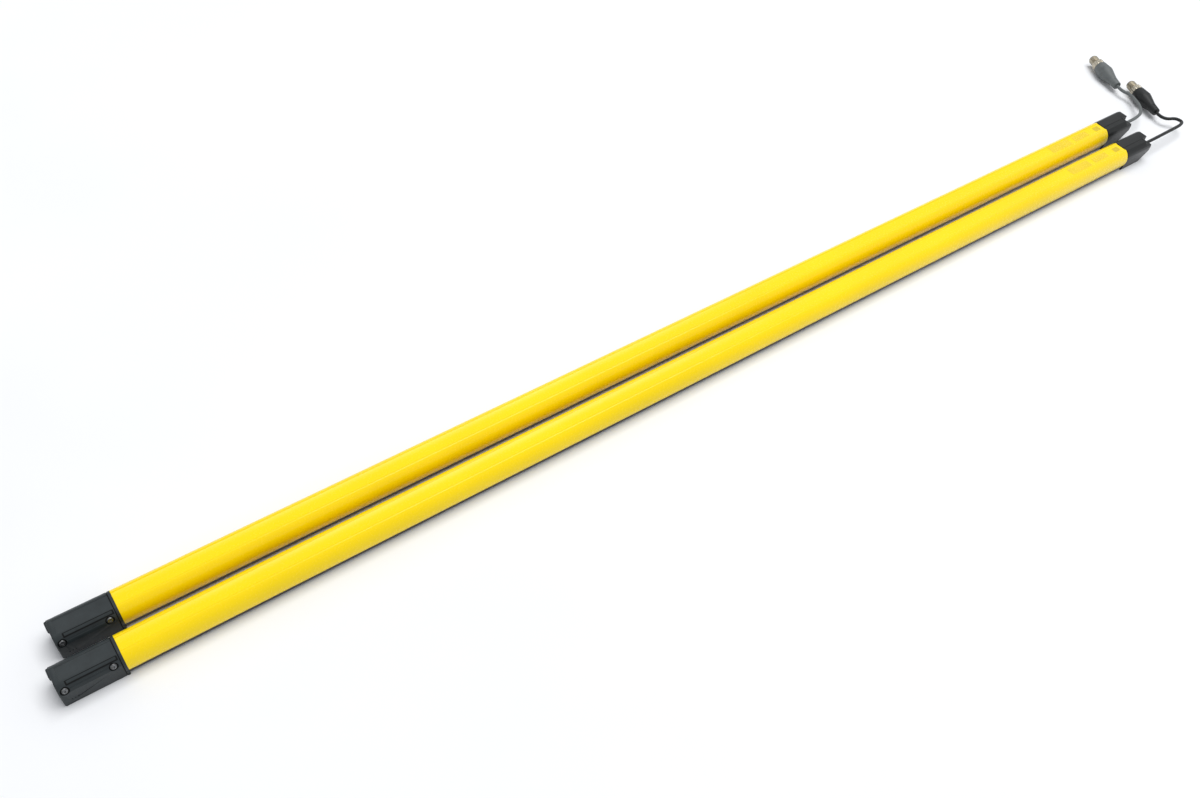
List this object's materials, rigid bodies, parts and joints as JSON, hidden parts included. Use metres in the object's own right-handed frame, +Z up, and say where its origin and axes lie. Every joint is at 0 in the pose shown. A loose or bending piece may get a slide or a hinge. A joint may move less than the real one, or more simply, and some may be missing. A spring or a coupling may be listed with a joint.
{
  "type": "safety light curtain",
  "caption": "Safety light curtain pair: slim yellow sender and receiver bars lying screens down, each with a short cable and an M12 plug.",
  "frame": {"origin": "centre of the pair's footprint, on the plane that the front screens lie on", "axes": "+X along the bars towards the cables, +Y from the receiver to the sender, +Z up, away from the screens"},
  "size_m": [1.4509, 0.175, 0.0275],
  "materials": {
    "yellow_coating": "semi-gloss powder coat on extruded aluminium",
    "smoked_plastic": "polished smoked acrylic",
    "seal_rubber": "matt moulded rubber",
    "black_plastic": "fine-grained moulded plastic",
    "slate_plastic": "fine-grained moulded plastic",
    "clear_plastic": "polished clear plastic",
    "circuit_board": "solder-masked glass laminate",
    "element_plastic": "moulded component",
    "screw_steel": "blackened steel",
    "gold_plate": "gold-plated contact",
    "nickel_plate": "satin nickel plate",
    "grey_jacket": "moulded cable plastic",
    "black_jacket": "moulded cable plastic"
  },
  "bodies": {
    "housings": {"receiver_beam_board": "circuit_board", "receiver_beam_elements": "element_plastic", "receiver_cable": "black_jacket", "receiver_cable_cap": "black_plastic", "receiver_cable_cap_seal": "seal_rubber", "receiver_cable_grommet": "seal_rubber", "receiver_front_screen": "smoked_plastic", "receiver_housing": "yellow_coating", "receiver_interface_board": "circuit_board", "receiver_lens_strip": "clear_plastic", "receiver_optics_rail": "black_plastic", "receiver_plain_cap": "slate_plastic", "receiver_plain_cap_core": "slate_plastic", "receiver_plain_cap_screws": "screw_steel", "receiver_plain_cap_seal": "seal_rubber", "receiver_plug_grip": "black_jacket", "receiver_plug_insert": "black_plastic", "receiver_plug_pins": "gold_plate", "receiver_screen_gaskets": "seal_rubber", "receiver_status_window": "clear_plastic", "receiver_strip_cover": "slate_plastic", "sender_beam_board": "circuit_board", "sender_beam_elements": "element_plastic", "sender_cable": "grey_jacket", "sender_cable_cap": "black_plastic", "sender_cable_cap_seal": "seal_rubber", "sender_cable_grommet": "seal_rubber", "sender_front_screen": "smoked_plastic", "sender_housing": "yellow_coating", "sender_interface_board": "circuit_board", "sender_lens_strip": "clear_plastic", "sender_optics_rail": "black_plastic", "sender_plain_cap": "slate_plastic", "sender_plain_cap_core": "slate_plastic", "sender_plain_cap_screws": "screw_steel", "sender_plain_cap_seal": "seal_rubber", "sender_plug_grip": "grey_jacket", "sender_plug_insert": "black_plastic", "sender_plug_pins": "gold_plate", "sender_screen_gaskets": "seal_rubber", "sender_status_window": "clear_plastic", "sender_strip_cover": "slate_plastic"},
    "receiver_nut": {"receiver_plug_nut": "nickel_plate"},
    "sender_nut": {"sender_plug_nut": "nickel_plate"}
  },
  "joints": [
    {"name": "receiver_nut_spin", "type": "hinge", "parent": "housings", "child": "receiver_nut", "pos_m": [0.76207, 0.05933, 0.0099], "axis": [0.3417, 0.9398, 0], "continuous": true},
    {"name": "sender_nut_spin", "type": "hinge", "parent": "housings", "child": "sender_nut", "pos_m": [0.76397, 0.12399, 0.0099], "axis": [0.344, 0.939, 0], "continuous": true}
  ]
}
